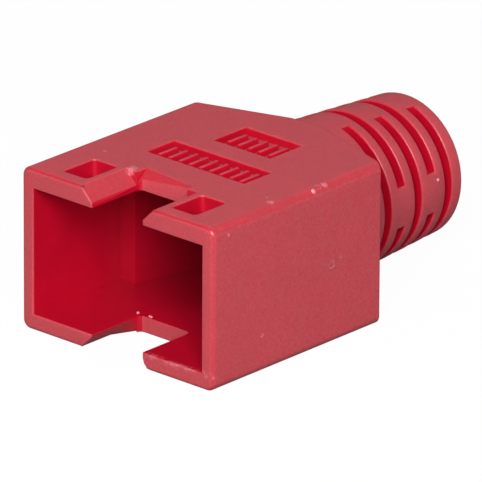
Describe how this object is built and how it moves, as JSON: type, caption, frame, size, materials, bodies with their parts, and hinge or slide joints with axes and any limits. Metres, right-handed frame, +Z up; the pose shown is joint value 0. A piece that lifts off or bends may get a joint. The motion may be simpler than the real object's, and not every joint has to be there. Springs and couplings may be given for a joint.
{
  "type": "modular plug strain relief boot",
  "caption": "Soft one-piece boot with a square hood, open and notched at the front for a modular plug, and a slotted tapered tail that eases the bend of a round cable.",
  "frame": {"origin": "on the underside, at the middle of the part's outline seen from above", "axes": "+Y from the mouth towards the end of the tail, +Z up through the notched top with the pads, +X to the right seen from the mouth"},
  "size_m": [0.0136, 0.0228, 0.0091],
  "materials": {
    "soft_vinyl": "moulded satin, red"
  },
  "bodies": {
    "root": {"strain_relief_boot": "soft_vinyl"}
  },
  "joints": []
}
